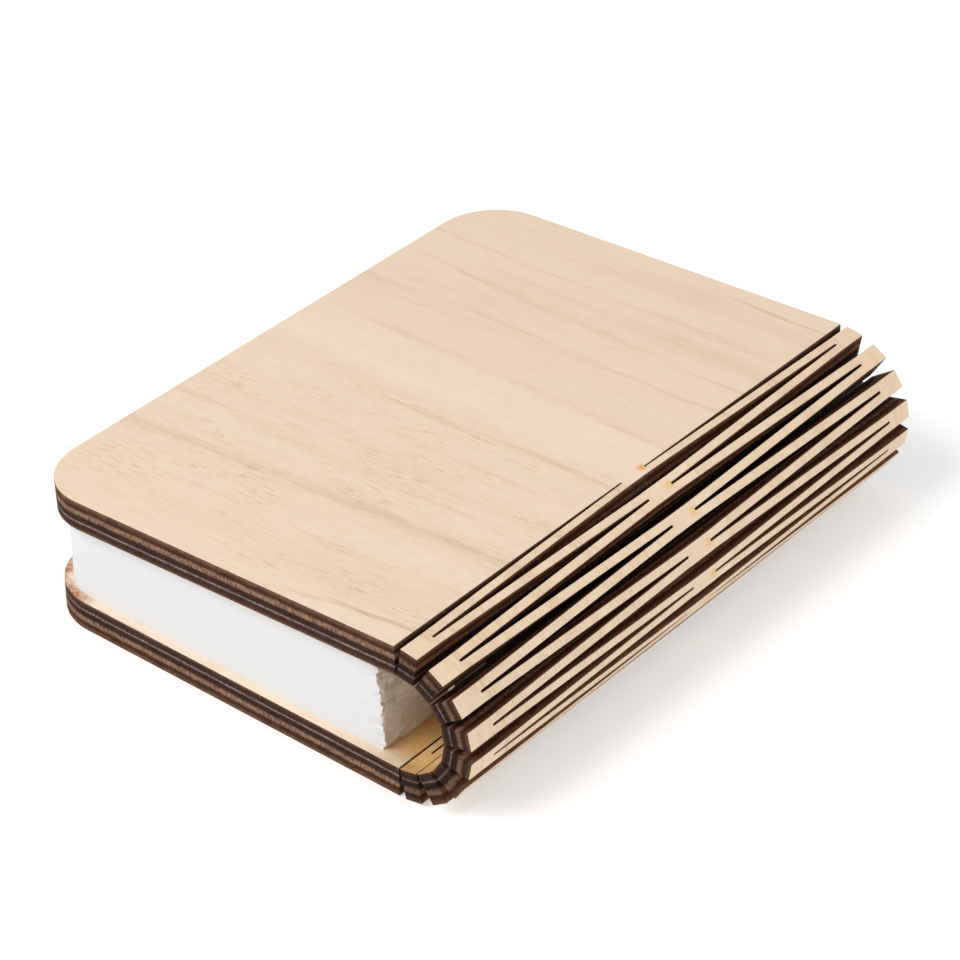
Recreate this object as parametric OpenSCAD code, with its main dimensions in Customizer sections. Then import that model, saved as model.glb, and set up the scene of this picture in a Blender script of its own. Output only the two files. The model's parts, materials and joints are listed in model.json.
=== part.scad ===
// Folding book lamp: two plywood covers joined by a living-hinge spine,
// a fan of paper leaves between them and a light core in the spine.
// Millimetres. The lamp lies closed on its lower cover.
// Origin: centre of the lower cover's outer face. +X points to the spine,
// +Y runs along the spine to the charging end, +Z points up.

/* [Covers] */
// Length of a cover along the spine
cover_len = 122; // [90:1:200]
// Width of a cover from its spine edge to its fore edge
cover_wid = 81.5; // [60:0.5:140]
// Thickness of the plywood
ply_t = 5.8; // [4.2:0.1:7]
// Radius of the two fore-edge corners
corner_r = 12; // [4:0.5:20]

/* [Spine] */
// Number of torsion strips across the spine
strips = 16; // [12:4:24]
// Width of one torsion strip
strip_w = 1.45; // [1.3:0.05:2.4]
// Width of the slit between the two strips of one bar
slit_w = 0.45; // [0.3:0.05:0.8]
// Length of the bars that join the strips at both ends of the spine
end_bar_len = 6; // [3:0.5:12]
// Length of the bridges that join the strips in the middle of the spine
bridge_len = 6.5; // [4:0.5:12]
// Least gap between neighbouring bars when the spine is fully bent
bar_clear = 0.22; // [0.15:0.01:0.5]
// How far the bars sit in from the covers' outer faces
spine_lift = 0.05; // [0.05:0.01:0.15]

/* [Opening] */
// How much the upper cover leans down towards the fore edge when closed
closed_wedge = 2.7; // [0:0.1:4]
// Opening from closed until the covers stand back to back
open_angle = 372; // [200:1:372]

/* [Pages] */
// Distance of the leaves in from the covers' edges
page_inset = 1.6; // [1:0.1:6]
// Gap between neighbouring leaves
leaf_gap = 0.06; // [0.04:0.01:0.12]

/* [Magnets] */
// Diameter of the latch magnets near the fore-edge corners
latch_d = 8; // [5:0.5:9]
// Thickness of the latch magnets
latch_h = 3; // [1.5:0.1:3.4]
// Distance of the latch magnets' centres in from both edges of a corner
latch_inset = 9.5; // [8.5:0.5:14]
// Diameter of the magnet in the upper cover that works the reed switch
trigger_d = 6; // [4:0.5:8]
// Thickness of that magnet
trigger_h = 2; // [1:0.1:3]
// Distance of that magnet's centre in from the spine edge
trigger_inset = 9; // [6:0.5:20]
// Radial clearance of each magnet in its pocket
pocket_clear = 0.05; // [0.02:0.01:0.2]

/* [Light core] */
// Width of the core across the spine's hollow
core_wid = 11; // [9:0.5:13]
// Depth of the core from its back to the front of its diffuser
core_depth = 9.2; // [8.4:0.1:12]
// Least gap between the core and the bent spine
core_clear = 0.5; // [0.3:0.1:1]
// Gap between the core and the leaves
core_page_gap = 2; // [0.8:0.1:3]
// Distance of the core in from the near end of the covers
core_near_inset = 15; // [10:0.5:30]
// Distance of the core in from the charging end of the covers
core_far_inset = 1; // [0.5:0.5:10]
// Wall of the core housing
core_wall = 1; // [0.8:0.1:1.2]
// Thickness of the diffuser at its edges
lid_t = 1; // [0.8:0.1:1.4]
// Height of the diffuser's crown
lid_crown = 0.6; // [0.2:0.1:0.8]
// Width and length of the foot that holds the core on the middle bridge
foot_wid = 2.8; // [2:0.1:3.2]
// Length of that foot along the spine
foot_len = 5.6; // [3:0.1:6]

/* [Electronics] */
// Thickness of the lamp board and the charge board
board_t = 0.8; // [0.6:0.1:1.2]
// Number of LEDs on the lamp board
led_count = 8; // [4:1:12]
// Length of one LED along the spine
led_len = 3.5; // [2:0.1:4]
// Width of one LED
led_wid = 2.8; // [2:0.1:3.5]
// Height of one LED
led_h = 0.7; // [0.5:0.1:0.9]
// Length of the battery
battery_len = 42; // [25:1:55]
// Thickness of the battery
battery_t = 3.4; // [2:0.1:4]
// Length of the charge board
charge_len = 22; // [16:0.5:28]
// Width of the charging socket's shell
socket_wid = 7.4; // [7:0.1:7.6]
// Height of the charging socket's shell
socket_h = 2.5; // [2.2:0.1:2.7]
// Length of the charging socket's shell
socket_len = 5.4; // [5:0.1:7]
// Wall of the charging socket's shell
socket_wall = 0.3; // [0.2:0.05:0.4]
// Diameter of the reed switch
reed_d = 1.8; // [1.4:0.1:2.2]
// Length of the reed switch's glass
reed_len = 10; // [8:0.5:14]
// Diameter of the leads
lead_d = 0.8; // [0.5:0.1:1]
// Clearance of each piece inside the core housing
fit_clear = 0.15; // [0.1:0.01:0.25]

/* [Hidden] */
$fn = 48;
links = strips - 1;
middle = strips / 2;

wood = [0.91, 0.80, 0.65];
wood_light = [0.94, 0.85, 0.72];
paper = [0.97, 0.965, 0.95];
steel = [0.72, 0.73, 0.75];
black_plastic = [0.13, 0.13, 0.125];
opal = [0.98, 0.97, 0.92];
board_green = [0.16, 0.42, 0.25];
led_yellow = [0.96, 0.82, 0.38];
foil = [0.75, 0.76, 0.78];
glass = [0.62, 0.78, 0.72];
eps = 0.01;

// The spine is a chain of equal links. Body 0 is the lower cover, the odd
// bodies are end bars, the even ones bridges, and the last is the upper cover.
// Strip i twists between bodies i - 1 and i, about pivot i.
closed_turn = 180 + closed_wedge;
rest_bend = closed_turn / strips;
back_bend = (open_angle - closed_turn) / strips;
bend_max = max(rest_bend, back_bend);
bar_w = 2 * strip_w + slit_w;
bar_gap = ply_t * sin(bend_max) + bar_clear;
link_len = (bar_w + bar_gap) / 2;
half_t = ply_t / 2;
cover_gap = (half_t + spine_lift) * sin(bend_max) + bar_clear;
edge_to_pivot = cover_gap + (bar_w - link_len) / 2;
strip_offset = (strip_w + slit_w) / 2;
strip_end_y = cover_len / 2 - end_bar_len;
strip_start_y = bridge_len / 2;
strip_sections = 6;

function turn(i) = i * rest_bend;
function along(i) = [cos(turn(i)), 0, sin(turn(i))];
function inward(i) = [-sin(turn(i)), 0, cos(turn(i))];
first_pivot = [cover_wid / 2 + edge_to_pivot, 0, half_t + spine_lift];
function pivot(i) = i < 1 ? first_pivot - link_len * along(0)
    : i == 1 ? first_pivot
    : pivot(i - 1) + link_len * along(i - 1);
function mid(i) = pivot(i) + link_len / 2 * along(i);

// The hollow inside the bent spine and the core that stands in it
spine_r = link_len / 2 / tan(rest_bend / 2);
hollow_r = spine_r - half_t;
core_back = hollow_r - sqrt(pow(hollow_r - core_clear, 2) - pow(core_wid / 2, 2));
core_back_z = half_t + core_back;
core_front_z = core_back_z + core_depth;
core_near_y = -cover_len / 2 + core_near_inset;
core_far_y = cover_len / 2 - core_far_inset;
housing_top_z = core_front_z - lid_t - lid_crown;
back_corner_r = 1.2;
core_in_wid = core_wid - 2 * core_wall;
core_floor_z = core_back_z + core_wall;
core_in_near_y = core_near_y + core_wall;
core_in_far_y = core_far_y - core_wall;
ledge = 0.5;
board_wid = core_in_wid + 2 * ledge - 2 * fit_clear;
board_len = core_in_far_y - core_in_near_y - 2 * fit_clear;
lamp_board_z = housing_top_z - led_h - board_t - fit_clear;
led_pitch = board_len / led_count;
charge_wid = core_in_wid - 2 * fit_clear;
charge_z = core_floor_z;
charge_far_y = core_in_far_y - fit_clear;
charge_near_y = charge_far_y - charge_len;
socket_z = charge_z + board_t;
socket_recess = 0.3;
socket_far_y = core_far_y - socket_recess;
lead_gap = 4;
lead_pitch = 3;
battery_wid = core_in_wid - 2 * fit_clear;
battery_far_y = charge_near_y - lead_gap;
battery_near_y = battery_far_y - battery_len;
reed_end_room = 3;
reed_y = core_in_near_y + fit_clear + reed_end_room + reed_len / 2;
reed_x = core_in_wid / 2 - fit_clear - reed_d / 2;
reed_wire = 0.5;

// The stack of leaves fills the wedge between the covers' inner faces
page_back_x = mid(middle)[0] + core_front_z * inward(middle)[0] - core_page_gap;
page_front_x = -cover_wid / 2 + page_inset;
page_half_y = cover_len / 2 - page_inset;
page_corner_r = max(corner_r - page_inset, 0.5);
leaf_count = strips + 1;
upper_inner = pivot(strips) + edge_to_pivot * along(strips)
    + (half_t - spine_lift) * inward(strips);
function stack_top(x) = upper_inner[2] + tan(closed_wedge) * (x - upper_inner[0]);
function leaf_z(x, share) = ply_t + share * (stack_top(x) - ply_t);

// Places children in the frame of body i: X along the spine's bend, Z inward
module on_body(i) {
    translate(mid(i)) rotate([0, -turn(i), 0]) children();
}

// Extrudes a profile drawn in X and Z along Y
module along_y(y0, y1) {
    translate([0, y1, 0]) rotate([90, 0, 0]) linear_extrude(y1 - y0) children();
}

// Rectangle from x0 to x1, centred on Y, with its two corners at x0 rounded
module fore_outline(x0, x1, half_y, r) {
    translate([x0 + r, -half_y]) square([x1 - x0 - r, 2 * half_y]);
    translate([x0, -half_y + r]) square([r + eps, 2 * (half_y - r)]);
    for (side = [-1, 1])
        translate([x0 + r, side * (half_y - r)]) circle(r);
}

// Disc pocket or magnet, its flat outer end on the panel's inner face
module disc(x, y, d, h, inner_z) {
    translate([x, y, inner_z - h]) cylinder(d = d, h = h);
}

module latch_discs(x_fore, d, h, inner_z) {
    for (side = [-1, 1])
        disc(x_fore + latch_inset, side * (cover_len / 2 - latch_inset), d, h, inner_z);
}

// A cover in the frame of body 0: its fore edge is on the -X side
edge_x = link_len / 2 - edge_to_pivot;
fore_x = edge_x - cover_wid;
outer_z = -half_t - spine_lift;
inner_z = half_t - spine_lift;
trigger_x = edge_x - trigger_inset;
module panel() {
    translate([0, 0, outer_z])
        linear_extrude(ply_t) {
            fore_outline(fore_x, edge_x, cover_len / 2, corner_r);
            translate([edge_x - eps, -bridge_len / 2])
                square([bar_w / 2 - edge_x + eps, bridge_len]);
        }
}

module lower_cover() {
    color(wood_light)
        on_body(0) difference() {
            panel();
            latch_discs(fore_x, latch_d + 2 * pocket_clear, latch_h + eps, inner_z + eps);
        }
}

module upper_cover() {
    color(wood_light)
        on_body(strips) mirror([1, 0, 0]) difference() {
            panel();
            latch_discs(fore_x, latch_d + 2 * pocket_clear, latch_h + eps, inner_z + eps);
            disc(trigger_x, reed_y, trigger_d + 2 * pocket_clear, trigger_h + eps,
                 inner_z + eps);
        }
}

module magnets_lower() {
    color(steel) on_body(0) latch_discs(fore_x, latch_d, latch_h, inner_z);
}

module magnets_upper() {
    color(steel) on_body(strips) mirror([1, 0, 0]) {
        latch_discs(fore_x, latch_d, latch_h, inner_z);
        disc(trigger_x, reed_y, trigger_d, trigger_h, inner_z);
    }
}

// Bar pair k joins two strips at both ends of the spine
module end_bars(k) {
    color(wood)
        on_body(2 * k - 1)
            for (y = [-cover_len / 2, cover_len / 2 - end_bar_len])
                translate([-bar_w / 2, y, -half_t]) cube([bar_w, end_bar_len, ply_t]);
}

// Bridge k joins two strips in the middle of the spine
module bridge(k) {
    color(wood)
        on_body(2 * k)
            translate([-bar_w / 2, -bridge_len / 2, -half_t])
                cube([bar_w, bridge_len, ply_t]);
}

// One strip, twisting and leaning from its bridge out to both end bars
function strip_mid(body, i) =
    mid(body) + (body == i ? -strip_offset : strip_offset) * along(body);
function strip_section(c, angle, y) = [
    for (q = [[-1, -1], [1, -1], [1, 1], [-1, 1]])
        let (u = q[0] * strip_w / 2, n = q[1] * half_t)
        [c[0] + u * cos(angle) - n * sin(angle), y, c[2] + u * sin(angle) + n * cos(angle)]
];
module strip(i) {
    bridge_body = i % 2 == 0 ? i : i - 1;
    bar_body = i % 2 == 0 ? i - 1 : i;
    from = strip_mid(bridge_body, i);
    to = strip_mid(bar_body, i);
    points = [
        for (s = [0:strip_sections])
            let (f = s / strip_sections)
            each strip_section(from + f * (to - from),
                turn(bridge_body) + f * (turn(bar_body) - turn(bridge_body)),
                strip_start_y + f * (strip_end_y - strip_start_y))
    ];
    last = 4 * strip_sections;
    faces = concat(
        [[0, 2, 1], [0, 3, 2], [last, last + 1, last + 2], [last, last + 2, last + 3]],
        [
            for (s = [0:strip_sections - 1])
                for (q = [0:3])
                    let (a = 4 * s + q, b = 4 * s + (q + 1) % 4)
                    each [[a, b, b + 4], [a, b + 4, a + 4]]
        ]
    );
    color(wood) {
        polyhedron(points, faces);
        mirror([0, 1, 0]) polyhedron(points, faces);
    }
}

// Leaf i fills its share of the wedge between the covers
module leaf(i) {
    low = i / leaf_count;
    high = (i + 1) / leaf_count;
    lift = i == 0 ? 0 : leaf_gap / 2;
    drop = i == strips ? 0 : leaf_gap / 2;
    color(paper)
        intersection() {
            linear_extrude(cover_wid)
                fore_outline(page_front_x, page_back_x, page_half_y, page_corner_r);
            along_y(-cover_len / 2, cover_len / 2)
                polygon([
                    [-cover_wid, leaf_z(-cover_wid, low) + lift],
                    [cover_wid, leaf_z(cover_wid, low) + lift],
                    [cover_wid, leaf_z(cover_wid, high) - drop],
                    [-cover_wid, leaf_z(-cover_wid, high) - drop]
                ]);
        }
}

// Rectangle centred on X whose two lower corners are rounded
module back_outline(w, z0, z1, r) {
    translate([-w / 2, z0 + r]) square([w, z1 - z0 - r]);
    translate([-w / 2 + r, z0]) square([w - 2 * r, r + eps]);
    for (side = [-1, 1])
        translate([side * (w / 2 - r), z0 + r]) circle(r);
}

module core_housing() {
    socket_room = 2 * fit_clear;
    color(black_plastic)
        on_body(middle) {
            difference() {
                along_y(core_near_y, core_far_y)
                    back_outline(core_wid, core_back_z, housing_top_z, back_corner_r);
                translate([-core_in_wid / 2, core_in_near_y, core_floor_z])
                    cube([core_in_wid, core_in_far_y - core_in_near_y, core_depth]);
                translate([-core_in_wid / 2 - ledge, core_in_near_y, lamp_board_z])
                    cube([core_in_wid + 2 * ledge, core_in_far_y - core_in_near_y, core_depth]);
                translate([-(socket_wid + socket_room) / 2, core_in_far_y - eps,
                           socket_z - fit_clear])
                    cube([socket_wid + socket_room, 2 * core_wall, socket_h + socket_room]);
            }
            translate([-foot_wid / 2, -foot_len / 2, half_t])
                cube([foot_wid, foot_len, core_back + eps]);
        }
}

// The diffuser's crowned front is part of a large circle
crown_r = (pow(core_wid / 2, 2) + pow(lid_crown, 2)) / (2 * lid_crown);
module core_diffuser() {
    color(opal)
        on_body(middle)
            along_y(core_near_y, core_far_y)
                intersection() {
                    translate([-core_wid / 2, housing_top_z])
                        square([core_wid, lid_t + lid_crown]);
                    translate([0, core_front_z - crown_r]) circle(crown_r, $fn = 180);
                }
}

module lamp_board() {
    lead_z = charge_z + board_t;
    color(board_green)
        on_body(middle) {
            translate([-board_wid / 2, core_in_near_y + fit_clear, lamp_board_z])
                cube([board_wid, board_len, board_t]);
            for (side = [-1, 1])
                translate([side * lead_pitch / 2, charge_near_y + lead_pitch, lead_z])
                    cylinder(d = lead_d, h = lamp_board_z - lead_z);
        }
}

module leds() {
    color(led_yellow)
        on_body(middle)
            for (i = [0:led_count - 1])
                translate([-led_wid / 2,
                           core_in_near_y + fit_clear + (i + 0.5) * led_pitch - led_len / 2,
                           lamp_board_z + board_t])
                    cube([led_wid, led_len, led_h]);
}

module battery() {
    side_flat = 0.6;
    edge_r = (battery_t - side_flat) / 2;
    color(foil)
        on_body(middle) {
            along_y(battery_near_y, battery_far_y) {
                translate([-battery_wid / 2 + edge_r, core_floor_z])
                    square([battery_wid - 2 * edge_r, battery_t]);
                translate([-battery_wid / 2, core_floor_z + edge_r])
                    square([battery_wid, battery_t - 2 * edge_r]);
                for (x = [-1, 1], z = [edge_r, battery_t - edge_r])
                    translate([x * (battery_wid / 2 - edge_r), core_floor_z + z])
                        circle(edge_r);
            }
            for (side = [-1, 1])
                translate([side * lead_pitch / 2, battery_far_y, charge_z + board_t / 2])
                    rotate([-90, 0, 0]) cylinder(d = min(lead_d, board_t), h = lead_gap);
        }
}

module charge_board() {
    color(board_green)
        on_body(middle)
            translate([-charge_wid / 2, charge_near_y, charge_z])
                cube([charge_wid, charge_len, board_t]);
}

module charge_socket() {
    tongue_side_gap = 1.2;
    tongue_wid = socket_wid - 2 * tongue_side_gap;
    tongue_h = 0.6;
    back_wall = 1;
    near_y = socket_far_y - socket_len;
    color(steel)
        on_body(middle) {
            difference() {
                translate([-socket_wid / 2, near_y, socket_z])
                    cube([socket_wid, socket_len, socket_h]);
                translate([-socket_wid / 2 + socket_wall, near_y + back_wall,
                           socket_z + socket_wall])
                    cube([socket_wid - 2 * socket_wall, socket_len,
                          socket_h - 2 * socket_wall]);
            }
            translate([-tongue_wid / 2, near_y + back_wall - eps,
                       socket_z + (socket_h - tongue_h) / 2])
                cube([tongue_wid, socket_len - 2 * back_wall, tongue_h]);
        }
}

module reed_switch() {
    glass_z = lamp_board_z - fit_clear - reed_d / 2;
    leg = 2;
    color(glass)
        on_body(middle)
            translate([reed_x, reed_y, glass_z]) rotate([90, 0, 0]) {
                cylinder(d = reed_d, h = reed_len, center = true);
                cylinder(d = reed_wire, h = reed_len + 2 * leg, center = true);
            }
}

lower_cover();
upper_cover();
for (k = [1:middle])
    end_bars(k);
for (k = [1:middle - 1])
    bridge(k);
for (i = [1:strips])
    strip(i);
leaf(0);  // end_paper_lower
leaf(strips);  // end_paper_upper
for (i = [1:links])
    leaf(i);
magnets_lower();
magnets_upper();
core_housing();
core_diffuser();
lamp_board();
leds();
battery();
charge_board();
charge_socket();
reed_switch();
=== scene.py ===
"""Folding book lamp: plywood covers and spine, pleated paper and a light core.

The lamp lies closed on its lower cover. Everything is in metres in the frame
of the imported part: +X points to the spine, +Y runs along the spine to the
charging end and +Z points up. The covers, the bars, the bridges and the
torsion strips are one sheet of plywood, so each of their points also keeps
its place in the flat sheet, and the wood's materials read that place.
"""

import json
import logging
import math
from dataclasses import dataclass, field
from enum import Enum
from itertools import pairwise

import bpy
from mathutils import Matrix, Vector, noise

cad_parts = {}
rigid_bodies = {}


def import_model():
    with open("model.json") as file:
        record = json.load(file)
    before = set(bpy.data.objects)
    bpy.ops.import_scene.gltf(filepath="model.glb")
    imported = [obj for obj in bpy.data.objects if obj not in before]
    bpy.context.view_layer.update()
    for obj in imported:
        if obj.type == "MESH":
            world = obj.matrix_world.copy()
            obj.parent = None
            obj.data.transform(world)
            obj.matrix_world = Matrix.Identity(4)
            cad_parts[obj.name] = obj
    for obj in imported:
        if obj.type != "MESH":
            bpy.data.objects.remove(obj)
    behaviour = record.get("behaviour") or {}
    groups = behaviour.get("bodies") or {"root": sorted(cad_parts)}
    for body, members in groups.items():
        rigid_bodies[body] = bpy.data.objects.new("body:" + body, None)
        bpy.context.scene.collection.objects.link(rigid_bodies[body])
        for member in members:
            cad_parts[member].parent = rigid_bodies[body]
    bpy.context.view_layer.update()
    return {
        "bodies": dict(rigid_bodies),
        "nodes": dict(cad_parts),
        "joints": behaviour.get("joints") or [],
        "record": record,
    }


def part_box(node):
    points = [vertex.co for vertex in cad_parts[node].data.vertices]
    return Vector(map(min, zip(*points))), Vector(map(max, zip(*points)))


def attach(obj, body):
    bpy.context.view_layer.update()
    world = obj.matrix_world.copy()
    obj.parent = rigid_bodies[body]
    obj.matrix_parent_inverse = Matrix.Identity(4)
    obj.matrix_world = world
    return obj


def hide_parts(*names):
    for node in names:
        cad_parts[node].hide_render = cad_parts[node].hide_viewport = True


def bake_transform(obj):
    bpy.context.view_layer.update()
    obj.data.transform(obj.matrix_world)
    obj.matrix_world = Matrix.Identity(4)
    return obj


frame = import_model()

LOG = logging.getLogger("book_lamp")
MM = 0.001
FLAT = "flat_sheet"
VECTOR, FLOAT, COLOUR = "NodeSocketVector", "NodeSocketFloat", "NodeSocketColor"

Socket = bpy.types.NodeSocket
Colour = tuple[float, float, float]


class Face(Enum):
    """The three sorts of surface of the plywood sheet, by material index."""

    OUTER = 0
    INNER = 1
    CUT = 2


class End(Enum):
    """The two ends of the spine, as the sign of Y."""

    NEAR = -1
    FAR = 1


def srgb(red: int, green: int, blue: int) -> Colour:
    """Turns a display colour into the linear colour that shaders take.

    Args:
        red: Red from 0 to 255.
        green: Green from 0 to 255.
        blue: Blue from 0 to 255.

    Returns:
        The linear colour.
    """

    def linear(value: int) -> float:
        """Turns one part of the colour."""
        share = value / 255
        return share / 12.92 if share <= 0.04045 else ((share + 0.055) / 1.055) ** 2.4

    return linear(red), linear(green), linear(blue)


def add_to_scene(name: str, data: bpy.types.ID) -> bpy.types.Object:
    """Makes an object and links it to the scene.

    Args:
        name: The object's name.
        data: Its mesh, light or camera.

    Returns:
        The object.
    """
    made = bpy.data.objects.new(name, data)
    bpy.context.scene.collection.objects.link(made)
    return made


# --------------------------------------------------------------------------
# Shader nodes
# --------------------------------------------------------------------------


class Graph:
    """Adds nodes to one node tree and joins them.

    Args:
        tree: The material's or the group's node tree.
    """

    def __init__(self, tree: bpy.types.NodeTree) -> None:
        """Keeps the tree."""
        self.tree = tree

    def add(self, kind: str, **settings: object) -> bpy.types.Node:
        """Adds a node and sets its properties.

        Args:
            kind: The node's type, such as "ShaderNodeMath".
            **settings: Properties of the node by name.

        Returns:
            The new node.
        """
        node = self.tree.nodes.new(kind)
        for name, value in settings.items():
            setattr(node, name, value)
        return node

    def feed(self, socket: Socket, value: object) -> None:
        """Links a socket into another one, or sets a constant on it.

        Args:
            socket: The input to fill.
            value: An output socket, a number or a colour.
        """
        if isinstance(value, Socket):
            self.tree.links.new(value, socket)
        elif isinstance(value, tuple) and len(value) == 3 and socket.type == "RGBA":
            socket.default_value = (*value, 1.0)
        else:
            socket.default_value = value

    def fill(self, node: bpy.types.Node, **values: object) -> bpy.types.Node:
        """Fills a node's inputs.

        Args:
            node: The node.
            **values: Sockets or constants by the input's name, with _ for a space.

        Returns:
            The node.
        """
        for name, value in values.items():
            self.feed(node.inputs[name.replace("_", " ")], value)
        return node

    def math(self, operation: str, *values: object, clamp: bool = False) -> Socket:
        """Does arithmetic on one to three values.

        Args:
            operation: The node's operation, such as "MULTIPLY".
            *values: Sockets or numbers.
            clamp: Whether the result is kept from 0 to 1.

        Returns:
            The result.
        """
        node = self.add("ShaderNodeMath", operation=operation, use_clamp=clamp)
        for socket, value in zip(node.inputs, values):
            self.feed(socket, value)
        return node.outputs[0]

    def product(self, first: object, *others: object) -> Socket:
        """Multiplies two or more values.

        Args:
            first: The first socket or number.
            *others: The others.

        Returns:
            The product.
        """
        for other in others:
            first = self.math("MULTIPLY", first, other)
        return first

    def sway(self, value: Socket, size: float, base: object) -> Socket:
        """Adds a share of a noise's distance from its middle to a value."""
        return self.math("MULTIPLY_ADD", self.math("SUBTRACT", value, 0.5), size, base)

    def rest(self, share: Socket) -> Socket:
        """What a share leaves of 1."""
        return self.math("SUBTRACT", 1.0, share)

    def apart(self, first: Socket, second: object) -> Socket:
        """How far two values lie apart."""
        return self.math("ABSOLUTE", self.math("SUBTRACT", first, second))

    def range(self, value: object, low: float, high: float, to_low: float = 0.0,
              to_high: float = 1.0, curve: str = "SMOOTHSTEP") -> Socket:
        """Maps a value from one range to another and clamps it.

        Args:
            value: The socket to map.
            low: The value that becomes to_low.
            high: The value that becomes to_high.
            to_low: Result at low.
            to_high: Result at high.
            curve: The node's interpolation, smooth unless given.

        Returns:
            The mapped value.
        """
        node = self.add("ShaderNodeMapRange", interpolation_type=curve)
        for index, part in enumerate((value, low, high, to_low, to_high)):
            self.feed(node.inputs[index], part)
        return node.outputs[0]

    def fade(self, value: Socket, low: float, high: float) -> Socket:
        """Gives 1 where a value is at low, and less until it is 0 at high."""
        return self.range(value, low, high, 1.0, 0.0)

    def split(self, vector: Socket) -> tuple[Socket, Socket, Socket]:
        """Separates a vector into its three parts.

        Args:
            vector: The vector.

        Returns:
            Its X, Y and Z.
        """
        node = self.add("ShaderNodeSeparateXYZ")
        self.feed(node.inputs[0], vector)
        return node.outputs[0], node.outputs[1], node.outputs[2]

    def join(self, x: object, y: object, z: object) -> Socket:
        """Combines three values into a vector.

        Args:
            x: Its first part.
            y: Its second part.
            z: Its third part.

        Returns:
            The vector.
        """
        node = self.add("ShaderNodeCombineXYZ")
        for socket, value in zip(node.inputs, (x, y, z)):
            self.feed(socket, value)
        return node.outputs[0]

    def scaled(self, vector: Socket, scale: object) -> Socket:
        """Multiplies a vector by a number."""
        node = self.add("ShaderNodeVectorMath", operation="SCALE")
        return self.fill(node, Vector=vector, Scale=scale).outputs[0]

    def split_mm(self, vector: Socket) -> tuple[Socket, Socket, Socket]:
        """Separates a vector in metres into its parts in millimetres."""
        return self.split(self.scaled(vector, 1 / MM))

    def noise(self, vector: Socket, scale: float = 1.0, detail: float = 2.0,
              roughness: float = 0.5, distortion: float = 0.0) -> Socket:
        """Adds a noise texture.

        Args:
            vector: The place to read the noise at.
            scale: Its scale.
            detail: Number of finer layers.
            roughness: Weight of the finer layers.
            distortion: How much the noise bends itself.

        Returns:
            The noise from 0 to 1.
        """
        node = self.fill(self.add("ShaderNodeTexNoise"), Vector=vector, Scale=scale,
                         Detail=detail, Roughness=roughness, Distortion=distortion)
        return node.outputs["Fac"]

    def ramp(self, value: Socket, stops: tuple[tuple[float, Colour], ...]) -> Socket:
        """Colours a value by a list of stops.

        Args:
            value: The socket from 0 to 1.
            stops: Pairs of place and colour, in order.

        Returns:
            The colour.
        """
        node = self.add("ShaderNodeValToRGB")
        marks = node.color_ramp.elements
        while len(marks) < len(stops):
            marks.new(1.0)
        for mark, (place, colour) in zip(marks, stops):
            mark.position = place
            mark.color = (*colour, 1.0)
        self.feed(node.inputs[0], value)
        return node.outputs[0]

    def mix(self, share: object, first: object, second: object,
            blend: str = "MIX") -> Socket:
        """Mixes two colours.

        Args:
            share: How much of the second colour.
            first: The first colour.
            second: The second colour.
            blend: The blend type.

        Returns:
            The mixed colour.
        """
        node = self.add("ShaderNodeMix", data_type="RGBA", blend_type=blend)
        for index, value in ((0, share), (6, first), (7, second)):
            self.feed(node.inputs[index], value)
        return node.outputs[2]

    def shade(self, colour: Socket, value: Socket) -> Socket:
        """Multiplies a colour by a value."""
        return self.mix(1.0, colour, self.join(value, value, value), "MULTIPLY")

    def tinted(self, colour: Socket, share: Socket, tint: Colour) -> Socket:
        """Adds a share of a tint to each part of a colour, in proportion to that part."""
        gains = (self.math("MULTIPLY_ADD", share, part, 1.0) for part in tint)
        return self.mix(1.0, colour, self.join(*gains), "MULTIPLY")

    def background(self) -> Socket:
        """Tells whether a ray sees the background, directly or in gloss or glass.

        Returns:
            1 for such a ray and 0 for another.
        """
        rays = self.add("ShaderNodeLightPath").outputs
        return self.math("MAXIMUM", rays["Is Camera Ray"], self.math(
            "MAXIMUM", rays["Is Glossy Ray"], rays["Is Transmission Ray"]))

    def attribute(self, name: str) -> Socket:
        """Reads a vector that is kept on the mesh's points."""
        return self.add("ShaderNodeAttribute", attribute_name=name).outputs["Vector"]

    def bump(self, height: Socket, distance: float, strength: float = 1.0) -> Socket:
        """Turns a height into a normal.

        Args:
            height: The height from 0 to 1.
            distance: What a height of 1 is, in metres.
            strength: How much of it shows.

        Returns:
            The normal.
        """
        node = self.fill(self.add("ShaderNodeBump"), Strength=strength, Distance=distance,
                         Height=height)
        return node.outputs["Normal"]

    def group(self, tree: bpy.types.NodeTree, **values: object) -> bpy.types.Node:
        """Places a node group and fills its inputs."""
        return self.fill(self.add("ShaderNodeGroup", node_tree=tree), **values)


def new_group(name: str, inputs: dict[str, tuple[str, object]],
              outputs: dict[str, str]) -> tuple[Graph, dict[str, Socket], bpy.types.Node]:
    """Starts a shader node group.

    Args:
        name: The group's name.
        inputs: Socket kind and default value by name.
        outputs: Socket kind by name.

    Returns:
        The graph to build in, the inputs by name, and the output node.
    """
    tree = bpy.data.node_groups.new(name, "ShaderNodeTree")
    for label, (kind, default) in inputs.items():
        socket = tree.interface.new_socket(label, in_out="INPUT", socket_type=kind)
        if default is not None:
            socket.default_value = default
    for label, kind in outputs.items():
        tree.interface.new_socket(label, in_out="OUTPUT", socket_type=kind)
    graph = Graph(tree)
    entry = graph.add("NodeGroupInput")
    leave = graph.add("NodeGroupOutput")
    return graph, {label: entry.outputs[label] for label in inputs}, leave


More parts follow.
